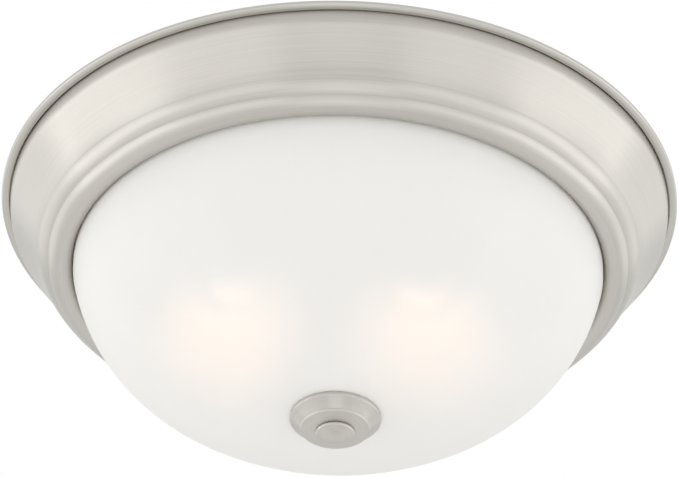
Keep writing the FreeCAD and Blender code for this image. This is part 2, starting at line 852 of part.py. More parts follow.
def socket_contact(name):
    """The spring tongue under the lamp's tip."""
    floor = "socket_inner_end"
    crest = "lamp_tip_end + seat_gap"
    rise = "tongue_reach / 2"
    corners = [
        ("-1 * tongue_reach", floor),
        ("-1 * tongue_reach", f"{floor} - tongue_wall"),
        (f"-1 * {rise}", f"{floor} - tongue_wall"),
        ("-1 * lamp_tip_radius / 2", crest),
        ("lamp_tip_radius / 2", crest),
        (rise, f"{crest} + tongue_wall"),
        (rise, f"{crest} + 2 * tongue_wall"),
        ("lamp_tip_radius / 2", f"{crest} + tongue_wall"),
        ("-1 * lamp_tip_radius / 2 + tongue_wall / 2", f"{crest} + tongue_wall"),
        (f"-1 * {rise} + tongue_wall / 2", floor),
    ]
    profile = outline(name + "_outline", corners)
    made = add("Part::Extrusion", name, Base=profile, DirMode="Custom", Dir=Vector(0, 0, 1))
    made.Solid = True
    made.Symmetric = True
    bind(made, LengthFwd="tongue_width")
    return made


def socket_bracket(name):
    """A bent strap: a foot riveted under the plate and a leg behind the socket."""
    body = add("PartDesign::Body", name)
    side = body_sketch(body, name + "_side", "YZ_Plane")
    back = "socket_end + bracket_wall"
    corners = [
        (back, "-1 * bracket_tail"),
        (back, "bracket_top - bracket_bend - bracket_wall"),
        (f"{back} - bracket_bend - bracket_wall", "bracket_top"),
        (f"{back} - bracket_foot", "bracket_top"),
        (f"{back} - bracket_foot", "bracket_top - bracket_wall"),
        ("socket_end - bracket_bend", "bracket_top - bracket_wall"),
        ("socket_end", "bracket_top - bracket_wall - bracket_bend"),
        ("socket_end", "-1 * bracket_tail"),
    ]
    draw(side, corners, {1: "bracket_bend + bracket_wall", 5: "-1 * bracket_bend"})
    pad(body, name + "_strap", side, "bracket_width", SideType="Symmetric")
    foot = body_sketch(body, name + "_foot", "XY_Plane")
    for across in (-1, 1):
        draw_circle(foot, f"{across} * rivet_spacing / 2", "rivet_place", "rivet_radius + fit_clearance / 2")
    pocket(body, name + "_foot_holes", foot)
    leg = body_sketch(body, name + "_leg", "XZ_Plane")
    draw_circle(leg, "0", "0", "socket_screw_radius + fit_clearance / 2")
    pocket(body, name + "_leg_hole", leg)
    return body


def bracket_rivets():
    """Four rivets through bracket feet and plate."""
    top = "plate_top - rivet_head_height"
    foot = "plate_depth + bracket_wall"
    corners = [
        ("0", top),
        ("rivet_head * head_taper", top),
        ("rivet_head", "plate_top"),
        ("rivet_radius", "plate_top"),
        ("rivet_radius", foot),
        ("rivet_head", foot),
        ("rivet_head * head_taper", f"{foot} + rivet_head_height"),
        ("0", f"{foot} + rivet_head_height"),
    ]
    rivets = []
    for side, sign in SIDES.items():
        for number, x, y in rivet_spots(sign):
            rivets.append(place(turned(f"rivet_{side}_{number}", corners), UPRIGHT, x, y))
    node("bracket_rivets", add("Part::Compound", "bracket_rivets", Links=rivets))


def socket_screws():
    """One screw through each bracket into the socket's floor."""
    seat = "socket_end + bracket_wall"
    corners = [
        ("0", f"{seat} + socket_screw_head_height"),
        ("socket_screw_head * head_taper", f"{seat} + socket_screw_head_height"),
        ("socket_screw_head", f"{seat} + socket_screw_head_height / 2"),
        ("socket_screw_head", seat),
        ("socket_screw_radius", seat),
        ("socket_screw_radius", "socket_end - socket_screw_length"),
        ("0", "socket_end - socket_screw_length"),
    ]
    screws = []
    for side, sign in SIDES.items():
        screws.append(in_lamp_place(turned(f"socket_screw_{side}", corners), sign))
    node("socket_screws", add("Part::Compound", "socket_screws", Links=screws))


# ---------------------------------------------------------------- wiring and pad


def wire_bushings():
    """Two snap bushings that line the lead holes."""
    corners = [
        ("bushing_bore", "plate_top - bushing_flange_height"),
        ("bushing_radius + bushing_flange", "plate_top - bushing_flange_height"),
        ("bushing_radius + bushing_flange", "plate_top"),
        ("bushing_radius", "plate_top"),
        ("bushing_radius", "plate_depth"),
        ("bushing_radius + bushing_flange * 2 / 3", "plate_depth"),
        ("bushing_radius", "plate_depth + bushing_flange_height"),
        ("bushing_bore", "plate_depth + bushing_flange_height"),
    ]
    bushings = []
    for side, sign in SIDES.items():
        x, y = bushing_spot(sign)
        bushings.append(place(turned(f"bushing_{side}", corners), UPRIGHT, x, y))
    node("wire_bushings", add("Part::Compound", "wire_bushings", Links=bushings))


def lead_route(colour, side):
    """The points of one lead, from its socket through the bushing to its connector."""
    sign = SIDES[side]
    tint = -1 if colour == "black" else 1
    crosses = sign == tint
    across = tint * size("lead_spread")
    socket_x = size(lamp_axis(sign)) - sign * across
    socket_y = size("lamp_shift - socket_end + lead_inset")
    rise = math.sqrt(size("socket_radius") ** 2 - across ** 2)
    start = Vector(socket_x, socket_y, -size("lamp_depth") + rise + size("seat_gap"))
    under = -size("plate_depth + lead_drop")
    spread = size("lead_hole_spread") * tint
    bushing_x = sign * (size("bushing_x") - spread)
    bushing_y = -size("bushing_y") - spread
    over = -size(f"lead_{colour}_depth")
    mouth = Vector(-tint * (size("wire_nut_place") + size("wire_nut_bore_depth") / 2), 0, over)
    lane = size("lead_radius + lead_pair_gap / 2") * (1 if crosses else -1)
    route = [
        start,
        Vector(socket_x, socket_y, under),
        Vector(bushing_x, bushing_y, under),
        Vector(bushing_x, bushing_y, over),
    ]
    if crosses:
        route.append(Vector(-tint * size("wire_nut_place") / 4, lane, over))
    else:
        route.append(Vector(-tint * size("wire_nut_place") / 3, 6 * lane, over))
        route.append(Vector(-tint * size("wire_nut_place") / 2, lane, over))
    route.append(mouth + Vector(0, lane, 0))
    return route


def lead_radii(route):
    """Arcs as large as the shorter of two runs allows, up to the lead's own easy bend."""
    radii = []
    for before, corner, after in zip(route, route[1:], route[2:]):
        turn = math.pi - (before - corner).getAngle(after - corner)
        run = min((corner - before).Length, (after - corner).Length)
        radii.append(min(size("lead_bend_share") * run / math.tan(turn / 2), size("lead_bend")))
    return radii


def lead_wires(colour):
    """The two leads of one colour, one from each socket, that meet in one connector."""
    leads = []
    for side in SIDES:
        route = lead_route(colour, side)
        radii = lead_radii(route)
        lead = add("Part::Feature", f"lead_{colour}_{side}")
        lead.Shape = wire_along(route, radii, size("lead_radius"))
        print(f"lead {colour} {side}: radii", [round(radius, 1) for radius in radii])
        leads.append(lead)
    node(f"lead_wires_{colour}", add("Part::Compound", f"lead_wires_{colour}", Links=leads))


def wire_nut(colour):
    """A twist-on connector that lies on its side, its mouth towards the centre."""
    corners = [
        ("wire_nut_bore", "0"),
        ("wire_nut_radius", "0"),
        ("wire_nut_radius", "wire_nut_length / 5"),
        ("wire_nut_tip", "wire_nut_length - wire_nut_bevel"),
        ("wire_nut_tip - wire_nut_bevel", "wire_nut_length"),
        ("0", "wire_nut_length"),
        ("0", "wire_nut_bore_depth"),
        ("wire_nut_bore", "wire_nut_bore_depth"),
    ]
    made = turned(f"wire_nut_{colour}", corners)
    sign = 1 if colour == "black" else -1
    turn = Rotation(Vector(0, 0, 1), -90 * sign)
    depth = f"-1 * lead_{colour}_depth"
    node(f"wire_nut_{colour}", place(made, turn, f"{sign} * wire_nut_place", "0", depth))


def ground_screws():
    """Two screws that clamp the ground wire, one in the strap and one in the plate."""
    grip = "2 * ground_wire_radius"
    bar_seat = f"bar_wall + {grip}"
    bar_screw = screw_outline("0", bar_seat, 1)
    plate_seat = f"plate_top - {grip}"
    plate_screw = screw_outline("plate_depth + ground_screw_reach", plate_seat, -1)
    first = place(turned("ground_screw_bar", bar_screw), UPRIGHT, "0", "ground_bar_place")
    second = place(turned("ground_screw_plate", plate_screw), UPRIGHT, "ground_pan_x", "ground_pan_y")
    node("ground_screws", add("Part::Compound", "ground_screws", Links=[first, second]))


def screw_outline(end, seat, way):
    """Half a screw: shank from its end to the seat, then a head that grows the given way."""
    crown = f"{seat} + {way} * ground_head_height"
    return [
        ("0", end),
        ("ground_screw_radius", end),
        ("ground_screw_radius", seat),
        ("ground_head_radius", seat),
        ("ground_head_radius", f"{seat} + {way} * ground_head_height / 2"),
        ("ground_head_radius * head_taper", crown),
        ("0", crown),
    ]


def ground_wire():
    """The bare wire from the strap's screw down to the plate's screw."""
    radius = size("ground_wire_radius")
    beside = size("ground_screw_radius + ground_wire_radius + fit_clearance")
    upper = -size("bar_wall") - radius
    lower = -size("plate_top") + radius
    x = size("ground_pan_x") + beside
    y = size("ground_bar_place") + beside
    reach = size("ground_head_radius")
    points = [
        Vector(-reach, y, upper),
        Vector(x, y, upper),
        Vector(x, y, lower),
        Vector(x, size("ground_pan_y") - reach, lower),
    ]
    bend = 6 * radius
    made = add("Part::Feature", "ground_wire")
    made.Shape = wire_along(points, [bend, bend], radius)
    node("ground_wire", made)


def insulation_pad():
    """The glass fibre ring on the plate, with a pocket over each rivet."""
    outer = cylinder("pad_outer", "pad_radius", "pad_height", z="-1 * plate_top")
    tools = [cylinder("pad_middle", "pad_hole_radius", "3 * pad_height", z="-1 * plate_top - pad_height")]
    radius = "rivet_head + pad_pocket_clearance"
    height = "2 * (rivet_head_height + pad_pocket_clearance)"
    low = "-1 * plate_top - rivet_head_height - pad_pocket_clearance"
    for side, sign in SIDES.items():
        for number, x, y in rivet_spots(sign):
            tools.append(cylinder(f"pad_pocket_{side}_{number}", radius, height, x, y, low))
    node("insulation_pad", cut("insulation_pad", outer, tools))


# ---------------------------------------------------------------- assembly


def build():
    """Builds every sub-part."""
    fill_sheet()
    node("pan", pan())
    mounting_bar()
    studs_and_nuts()
    center_rod()
    glass_shade()
    shade_grommet()
    finial_cap()
    finial_knob()
    for name, maker in (
        ("bulb_glass", bulb_glass),
        ("bulb_cap", bulb_cap),
        ("bulb_insulator", bulb_insulator),
        ("bulb_contact", bulb_contact),
        ("bulb_stem", bulb_stem),
        ("bulb_filament", bulb_filament),
        ("socket_body", socket_body),
        ("socket_shell", socket_shell),
        ("socket_contact", socket_contact),
        ("socket_bracket", socket_bracket),
    ):
        both_sides(name, maker)
    bracket_rivets()
    socket_screws()
    wire_bushings()
    for colour in ("black", "white"):
        lead_wires(colour)
        wire_nut(colour)
    ground_screws()
    ground_wire()
    insulation_pad()


def check_objects():
    """Stops if any object failed or any sub-part has no valid shape."""
    failed = [made.Name for made in doc.Objects if {"Invalid", "Error"} & set(made.State)]
    if failed:
        raise RuntimeError(f"these objects failed: {failed}")
    for name, made in nodes.items():
        if made.Shape.isNull() or not made.Shape.isValid() or not made.Shape.Solids:
            raise RuntimeError(f"{name} has no valid solid")


def write_parts():
    """Writes each sub-part to its own file."""
    os.makedirs("parts", exist_ok=True)
    for name, made in nodes.items():
        made.Shape.exportStep(f"parts/{name}.step")
        box = made.Shape.BoundBox
        extents = f"{box.XLength:.1f} x {box.YLength:.1f} x {box.ZLength:.1f}"
        print(f"{name}: {len(made.Shape.Solids)} solid, volume {made.Shape.Volume:.1f}, box {extents}")


build()
doc.recompute()
check_objects()
write_parts()
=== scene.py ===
import json
import math

import bmesh
import bpy
import numpy as np
from mathutils import Matrix, Vector, noise

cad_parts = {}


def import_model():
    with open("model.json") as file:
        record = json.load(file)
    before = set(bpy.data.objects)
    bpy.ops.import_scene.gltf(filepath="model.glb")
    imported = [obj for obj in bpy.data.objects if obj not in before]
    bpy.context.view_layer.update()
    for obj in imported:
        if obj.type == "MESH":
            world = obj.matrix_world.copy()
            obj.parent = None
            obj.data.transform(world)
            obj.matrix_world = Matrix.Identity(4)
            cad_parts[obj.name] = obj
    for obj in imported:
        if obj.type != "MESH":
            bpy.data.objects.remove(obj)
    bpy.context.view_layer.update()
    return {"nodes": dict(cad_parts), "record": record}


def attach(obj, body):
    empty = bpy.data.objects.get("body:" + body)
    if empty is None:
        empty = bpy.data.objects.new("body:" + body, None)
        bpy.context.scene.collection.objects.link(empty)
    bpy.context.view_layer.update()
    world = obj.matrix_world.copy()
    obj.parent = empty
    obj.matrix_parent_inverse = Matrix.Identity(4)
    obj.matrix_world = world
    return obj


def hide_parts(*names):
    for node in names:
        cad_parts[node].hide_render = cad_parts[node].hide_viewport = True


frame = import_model()
nodes = frame["nodes"]

# Flush mount ceiling light with two lamps, hung from the plane z = 0.
# The object's sizes are in millimetres. The studio lights, the camera and the floor are placed in metres.
# Outlines of round pieces are (distance from the axis, depth below the ceiling), as in the CAD source.
# A lamp's own outlines are (distance from its axis, distance from the globe's centre towards the base).

MM = 0.001
TURN = 2 * math.pi
SIDES = ((-1, "left"), (1, "right"))

# how finely the meshes are made
ARC_STEP = math.radians(3)
SMALL_ARC_STEP = 4 * ARC_STEP
SMALL_ROUND = 2.0
ON_AXIS = 1e-6
SHARP_EDGE = 32
ROWS_PER_THREAD = 8

# pan
SHEET = 0.9
PLATE_DEPTH = 35.0
ROD_HOLE = 5.1
RECESS_RADIUS = 129.15
LOWER_GROOVE = (141.3, 37.4)
UPPER_GROOVE = (146.8, 30.1)
WALL_TOP = (159.4, 10.2)
CREVICE_RADIUS = 160.7
CREVICE_END = 1.4
CREVICE_ROUND = 0.25
RIM_RADIUS = 165.1
STUD_Y = 52.0
STUD_HOLE = 2.4
GROUND_HOLE = (23.3, 12.0, 2.1)
BUSHING_HOLE = (16.2, -38.2, 5.0)
RIVET_Y = -50.5
RIVET_ACROSS = 6.0
RIVET_HOLE = 1.65

# glass bowl: a straight neck, an arc for the side and a flatter one for the bottom
GLASS_WALL = 3.0
GLASS_RADIUS = 128.8
GLASS_TOP = 35.3
GLASS_NECK_END = 43.3
GLASS_SIDE = 85.0
GLASS_JOIN = (96.99, 93.9)
GLASS_CROWN = 160.19
GLASS_HOLE = (6.2, 126.48)

# lamps, and the screw threads that are seen
LAMP_X = 47.0
LAMP_SIDESTEP = 4.7
LAMP_SHIFT = 15.0
LAMP_DEPTH = 69.0
BASE_THREAD = {"pitch": 3.629, "height": 0.38, "first": 53.0, "sides": 72}
ROD_THREAD = {"pitch": 0.94, "height": 0.28, "sides": 32}
STUD_THREAD = {"pitch": 0.79, "height": 0.24, "sides": 16}

# insulation pad
PAD_INNER = 57.0
PAD_OUTER = 138.0
PAD_THICK = 18.0
PAD_BOTTOM = PLATE_DEPTH - SHEET


# ---------------------------------------------------------------- places and outlines


def lamp_x(side):
    """How far a lamp's axis is to the right of the middle; both lamps sit a little to the left."""
    return side * LAMP_X - LAMP_SIDESTEP


def arc_points(start, end, radius):
    """Points after start up to end on an arc; a positive radius bulges to the right of the way."""
    x0, y0 = start
    x1, y1 = end
    chord = math.hypot(x1 - x0, y1 - y0)
    ball = max(abs(radius), chord / 2)
    reach = math.sqrt(ball * ball - chord * chord / 4)
    side = math.copysign(1, radius)
    right = ((y1 - y0) / chord, -(x1 - x0) / chord)
    cx = (x0 + x1) / 2 - side * right[0] * reach
    cy = (y0 + y1) / 2 - side * right[1] * reach
    a0 = math.atan2(y0 - cy, x0 - cx)
    a1 = math.atan2(y1 - cy, x1 - cx)
    sweep = (a1 - a0 + math.pi) % TURN - math.pi
    step = ARC_STEP if ball > SMALL_ROUND else SMALL_ARC_STEP
    count = max(2, math.ceil(abs(sweep) / step))
    angles = [a0 + sweep * n / count for n in range(1, count + 1)]
    return [(cx + ball * math.cos(angle), cy + ball * math.sin(angle)) for angle in angles]


def line(*corners):
    """A line through corners; a third number in a corner is the radius of the arc that arrives there."""
    made = [corners[0][:2]]
    for corner in corners[1:]:
        if len(corner) == 3:
            made += arc_points(made[-1], corner[:2], corner[2])
        else:
            made.append(corner)
    return made


def eased(corners, radius):
    """A closed line with each corner rounded by a small radius, as far as its edges allow."""
    most = 0.45
    made = []
    for i, corner in enumerate(corners):
        here = Vector(corner)
        back = Vector(corners[i - 1]) - here
        ahead = Vector(corners[(i + 1) % len(corners)]) - here
        cut = min(radius / math.tan(back.angle(ahead) / 2), back.length * most, ahead.length * most)
        first = here + back.normalized() * cut
        last = here + ahead.normalized() * cut
        for t in (0, 0.25, 0.5, 0.75, 1):
            point = first * (1 - t) ** 2 + here * 2 * t * (1 - t) + last * t * t
            made.append((point.x, point.y))
    return made


def behind(points, wall):
    """A sheet's other face; the wall lies to the right of the line's way, a negative one to the left."""
    made = []
    for i, point in enumerate(points):
        normals = []
        for a, b in ((i - 1, i), (i, i + 1)):
            if a >= 0 and b < len(points):
                way = np.array(points[b]) - np.array(points[a])
                normals.append(np.array([way[1], -way[0]]) / np.linalg.norm(way))
        mean = sum(normals) / len(normals)
        made.append(tuple(np.array(point) + mean / np.dot(mean, mean) * wall))
    return made


# ---------------------------------------------------------------- meshes


def smooth(mesh, sharp):
    """Smooth shading, except at edges sharper than an angle in degrees."""
    for polygon in mesh.polygons:
        polygon.use_smooth = True
    mesh.set_sharp_from_angle(angle=math.radians(sharp))


def make_piece(name, points, faces, sharp=SHARP_EDGE, place=None):
    """A mesh object in the row frame, smooth except at its sharp edges."""
    if place is not None:
        points = [place @ Vector(point) for point in points]
    mesh = bpy.data.meshes.new(name)
    mesh.from_pydata([tuple(point) for point in points], [], [tuple(face) for face in faces])
    mesh.validate()
    mesh.update()
    smooth(mesh, sharp)
    piece = bpy.data.objects.new(name, mesh)
    bpy.context.scene.collection.objects.link(piece)
    return piece


def outward(piece):
    """Turns a closed mesh's faces outward."""
    shell = bmesh.new()
    shell.from_mesh(piece.data)
    bmesh.ops.recalc_face_normals(shell, faces=shell.faces)
    shell.to_mesh(piece.data)
    shell.free()
    piece.data.update()
    return piece


def circle(radius, depth, sides, x=0.0, y=0.0):
    """The points of a level circle."""
    angles = [TURN * k / sides for k in range(sides)]
    return [((x + radius * math.cos(a)) * MM, (y + radius * math.sin(a)) * MM, -depth * MM) for a in angles]


def band(upper, lower):
    """The faces between two rings of point numbers; a pole is one number repeated."""
    faces = []
    for k in range(len(upper)):
        n = (k + 1) % len(upper)
        faces.append(tuple(dict.fromkeys((upper[k], upper[n], lower[n], lower[k]))))
    return faces


def revolve(outline, sides):
    """Points and faces of a closed outline turned about the upright axis; points on the axis are poles."""
    points = []
    rings = []
    for across, depth in outline:
        if across < ON_AXIS:
            rings.append([len(points)] * sides)
            points.append((0, 0, -depth * MM))
        else:
            rings.append(list(range(len(points), len(points) + sides)))
            points += circle(across, depth, sides)
    faces = []
    for upper, lower in zip(rings, rings[1:] + rings[:1]):
        if upper[0] != upper[1] or lower[0] != lower[1]:
            faces += band(upper, lower)
    return points, faces


def lathe(name, outline, sides, sharp, place=None):
    """A round piece from a closed outline."""
    return outward(make_piece(name, *revolve(outline, sides), sharp, place))


def thread_ring(radius, down, first, last, pitch, height, sides):
    """One level ring of a right-hand thread, which runs out over a turn at its first and last depth."""
    grown = max(0.0, min(1.0, (down - first) / pitch, (last - down) / pitch))
    ring = []
    for k in range(sides):
        angle = TURN * k / sides
        crest = 0.5 + 0.5 * math.cos(TURN * (down / pitch + k / sides))
        here = radius - height * grown * (1 - crest)
        ring.append((here * MM * math.cos(angle), here * MM * math.sin(angle), -down * MM))
    return ring


def threaded(name, face, back, first, last, pitch, height, sides, place=None):
    """A round piece whose outer face carries a thread of some height between two depths.

    face is the outer line from the top down. back is the other face: a wall for a rolled sheet, which
    carries the thread too, a line for a bore, or None for a bar.
    """
    outer = []
    for (r0, d0), (r1, d1) in zip(face, face[1:]):
        carries = first < max(d0, d1) and last > min(d0, d1)
        count = max(1, math.ceil(abs(d1 - d0) / (pitch / ROWS_PER_THREAD))) if carries else 1
        outer += [(r0 + (r1 - r0) * i / count, d0 + (d1 - d0) * i / count) for i in range(count)]
    outer.append(face[-1])
    walls = [(outer, height)]
    if isinstance(back, float):
        walls.append(([(r - back, d) for r, d in outer], height))
    elif back:
        walls.append((back, 0.0))
    points = []
    faces = []
    ends = []
    for rows, cut in walls:
        rings = []
        for radius, down in rows:
            rings.append(list(range(len(points), len(points) + sides)))
            points += thread_ring(radius, down, first, last, pitch, cut, sides)
        for upper, lower in zip(rings, rings[1:]):
            faces += band(upper, lower)
        ends.append((rings[0], rings[-1]))
    if back:
        for outer_ring, inner_ring in zip(*ends):
            faces += band(outer_ring, inner_ring)
    else:
        for ring, corner in zip(ends[0], (face[0], face[-1])):
            faces += band(ring, [len(points)] * sides)
            points.append((0, 0, -corner[1] * MM))
    return outward(make_piece(name, points, faces, sharp=60, place=place))


def drill(piece, holes, low, high):
    """Round holes through a piece between two depths; each hole is (x, y, radius)."""
    sides = 48
    points = []
    faces = []
    for x, y, radius in holes:
        upper = list(range(len(points), len(points) + sides))
        lower = [number + sides for number in upper]
        points += circle(radius, low, sides, x, y) + circle(radius, high, sides, x, y)
        faces += [upper, lower] + band(upper, lower)
    tool = outward(make_piece("drill_tool", points, faces))
    cut = piece.modifiers.new("holes", "BOOLEAN")
    cut.operation = "DIFFERENCE"
    cut.solver = "EXACT"
    cut.object = tool
    view = bpy.context.evaluated_depsgraph_get()
    mesh = bpy.data.meshes.new_from_object(piece.evaluated_get(view))
    piece.modifiers.clear()
    uncut = piece.data
    piece.data = mesh
    bpy.data.meshes.remove(uncut)
    bpy.data.objects.remove(tool)
    mesh.name = piece.name
    smooth(mesh, SHARP_EDGE)


# ---------------------------------------------------------------- materials


class NodeTree:
    """A node tree under construction, which starts empty."""

    def __init__(self, tree):
        self.tree = tree
        tree.nodes.clear()

    def add(self, kind, **settings):
        """A new node of some kind, with its settings."""
        made = self.tree.nodes.new(kind)
        for key, content in settings.items():
            setattr(made, key, content)
        return made

    def feed(self, target, source):
        """Links a socket from another one, or sets it from a number, a vector or a colour."""
        if isinstance(source, bpy.types.NodeSocket):
            self.tree.links.new(source, target)
        elif isinstance(source, tuple) and target.type == "RGBA":
            target.default_value = (*source, 1)
        else:
            target.default_value = source

    def maths(self, operation, *sources):
        """The result of an operation on numbers or sockets."""
        made = self.add("ShaderNodeMath", operation=operation)
        for socket, source in zip(made.inputs, sources):
            self.feed(socket, source)
        return made.outputs[0]

    def axes(self, vector):
        """The x, y and z of a vector."""
        parts = self.add("ShaderNodeSeparateXYZ")
        self.feed(parts.inputs[0], vector)
        return parts.outputs


class Looks(NodeTree):
    """A material's node tree, with short ways to add what the materials share."""

    def __init__(self, name):
        self.material = bpy.data.materials.new(name)
        self.material.use_nodes = True
        super().__init__(self.material.node_tree)
        out = self.add("ShaderNodeOutputMaterial")
        self.shader = self.add("ShaderNodeBsdfPrincipled")
        self.feed(out.inputs["Surface"], self.shader.outputs["BSDF"])
        self.place = self.add("ShaderNodeTexCoord").outputs["Object"]

    def noise(self, scale, detail, vector=None, w=None, roughness=0.5):
        """A noise over the object's coordinates or another vector, in four dimensions if w is given."""
        made = self.add("ShaderNodeTexNoise", noise_dimensions="3D" if w is None else "4D")
        self.feed(made.inputs["Vector"], self.place if vector is None else vector)
        if w is not None:
            self.feed(made.inputs["W"], w)
        for key, content in (("Scale", scale), ("Detail", detail), ("Roughness", roughness)):
            made.inputs[key].default_value = content
        return made.outputs["Fac"]

    def stretched(self, *shares):
        """The object's coordinates, each times its share."""
        made = self.add("ShaderNodeVectorMath", operation="MULTIPLY")
        self.feed(made.inputs[0], self.place)
        self.feed(made.inputs[1], shares)
        return made.outputs["Vector"]

    def span(self, value, low, high, to_low=0.0, to_high=1.0):
        """A value between low and high, brought between two others."""
        made = self.add("ShaderNodeMapRange")
        self.feed(made.inputs["Value"], value)
        for key, content in (("From Min", low), ("From Max", high), ("To Min", to_low), ("To Max", to_high)):
            made.inputs[key].default_value = content
        return made.outputs["Result"]

    def spread(self, value, to_low=0.0, to_high=1.0):
        """A noise, most of which lies between 0.3 and 0.7, brought between two values."""
        return self.span(value, 0.3, 0.7, to_low, to_high)

    def blend(self, share, first, second):
        """A colour between two, by the second one's share."""
        made = self.add("ShaderNodeMix", data_type="RGBA")
        for number, source in ((0, share), (6, first), (7, second)):
            self.feed(made.inputs[number], source)
        return made.outputs[2]

    def set(self, **values):
        """Sets or links sockets of the main shader; an underscore stands for a space."""
        for key, content in values.items():
            self.feed(self.shader.inputs[key.replace("_", " ")], content)

    def bump(self, height, distance, strength):
        """A normal that shows a height as relief of some distance in metres."""
        made = self.add("ShaderNodeBump")
        for key, content in (("Height", height), ("Distance", distance), ("Strength", strength)):
            self.feed(made.inputs[key], content)
        return made.outputs["Normal"]

    def round_lines(self, fine, along):
        """Fine lines that run round the upright axis, as spinning and brushing leave."""
        x, y, z = self.axes(self.place)
        r = self.maths("SQRT", self.maths("ADD", self.maths("MULTIPLY", x, x), self.maths("MULTIPLY", y, y)))
        off_axis = self.maths("MAXIMUM", r, 0.0005)
        spot = self.add("ShaderNodeCombineXYZ")
        for number, way in ((0, x), (1, y)):
            share = self.maths("DIVIDE", way, off_axis)
            self.feed(spot.inputs[number], self.maths("MULTIPLY", share, along))
        self.feed(spot.inputs[2], self.maths("MULTIPLY", r, fine))
        return self.noise(1.0, 3.0, spot.outputs[0], self.maths("MULTIPLY", z, fine), 0.6)


def brushed_nickel():
    """Nickel plated steel, brushed round its axis and cleared: warm grey with fine round lines."""
    looks = Looks("brushed_nickel")
    lines = looks.round_lines(fine=2600, along=1.6)
    broad = looks.round_lines(fine=420, along=1.1)
    cloud = looks.noise(24, 3)
    tone = looks.blend(looks.spread(lines), (0.5, 0.483, 0.447), (0.58, 0.561, 0.52))
    tone = looks.blend(looks.span(broad, 0.35, 0.65, to_high=0.22), tone, (0.62, 0.6, 0.56))
    tone = looks.blend(looks.spread(cloud, to_high=0.08), tone, (0.5, 0.48, 0.45))
    round_way = looks.add("ShaderNodeTangent", direction_type="RADIAL", axis="Z").outputs[0]
    looks.set(Base_Color=tone, Metallic=1.0, Roughness=looks.spread(lines, 0.3, 0.4))
    looks.set(Anisotropic=0.65, Anisotropic_Rotation=0.25, Tangent=round_way)
    looks.set(Normal=looks.bump(lines, distance=0.00002, strength=0.5))
    return looks.material


def frosted_glass():
    """Etched white glass: mostly a pale diffuse white, a little of it rough see-through to the lamps."""
    looks = Looks("frosted_glass")
    cloud = looks.noise(18, 3)
    tone = looks.blend(looks.spread(cloud), (0.905, 0.898, 0.872), (0.925, 0.918, 0.892))
    looks.set(Base_Color=tone, Roughness=looks.spread(cloud, 0.4, 0.44))
    looks.set(Transmission_Weight=0.2, IOR=1.45, Specular_IOR_Level=0.3)
    looks.set(Normal=looks.bump(looks.noise(1400, 2), distance=0.00002, strength=0.3))
    return looks.material


def lamp_glass():
    """A soft white lamp that is lit: a faint glow, and a strong one where the frosted bowl shows it.

    The strong glow fades from the base's side of the globe to the far side.
    """
    looks = Looks("lamp_glass")
    tone = looks.blend(looks.spread(looks.noise(60, 2)), (0.93, 0.9, 0.85), (0.95, 0.93, 0.88))
    through_bowl = looks.add("ShaderNodeLightPath").outputs["Is Transmission Ray"]
    across_globe = looks.span(looks.axes(looks.place)[1], -0.03, 0.03, 7.0, 1.2)
    glow = looks.maths("ADD", looks.maths("MULTIPLY", across_globe, through_bowl), 0.32)
    looks.set(Base_Color=tone, Roughness=0.4, Emission_Color=(1.0, 0.57, 0.31), Emission_Strength=glow)
    return looks.material


def glass_fibre():
    """Glass fibre wadding: pale straw with darker strands that run both ways."""
    looks = Looks("glass_fibre")
    strands = looks.noise(1.0, 4, looks.stretched(90, 700, 700))
    crossing = looks.noise(1.0, 4, looks.stretched(700, 90, 700))
    both = looks.maths("MAXIMUM", strands, crossing)
    tone = looks.blend(looks.span(both, 0.4, 0.7), (0.52, 0.45, 0.27), (0.86, 0.81, 0.62))
    looks.set(Base_Color=tone, Roughness=0.95, Specular_IOR_Level=0.2)
    looks.set(Normal=looks.bump(both, distance=0.0006, strength=0.8))
    return looks.material


def mottled(name, dark, light, scale, rough, grain, besides):
    """A plain finish with a procedural mottle between two tones, and a grain of some depth in metres."""
    looks = Looks(name)
    spots = looks.noise(scale, 4)
    looks.set(Base_Color=looks.blend(looks.spread(spots), dark, light))
    looks.set(Roughness=looks.spread(spots, *rough), **besides)
    if grain:
        fine = 6 * scale
        looks.set(Normal=looks.bump(looks.noise(fine, 2), distance=grain, strength=0.6))
    return looks.material


PLAIN = {}
METAL = {"Metallic": 1.0}
PAINTED = {"Metallic": 0.7}
CLEAR = {"Transmission_Weight": 1.0, "IOR": 1.5}
GLAZED = {"Coat_Weight": 0.6, "Coat_Roughness": 0.06}

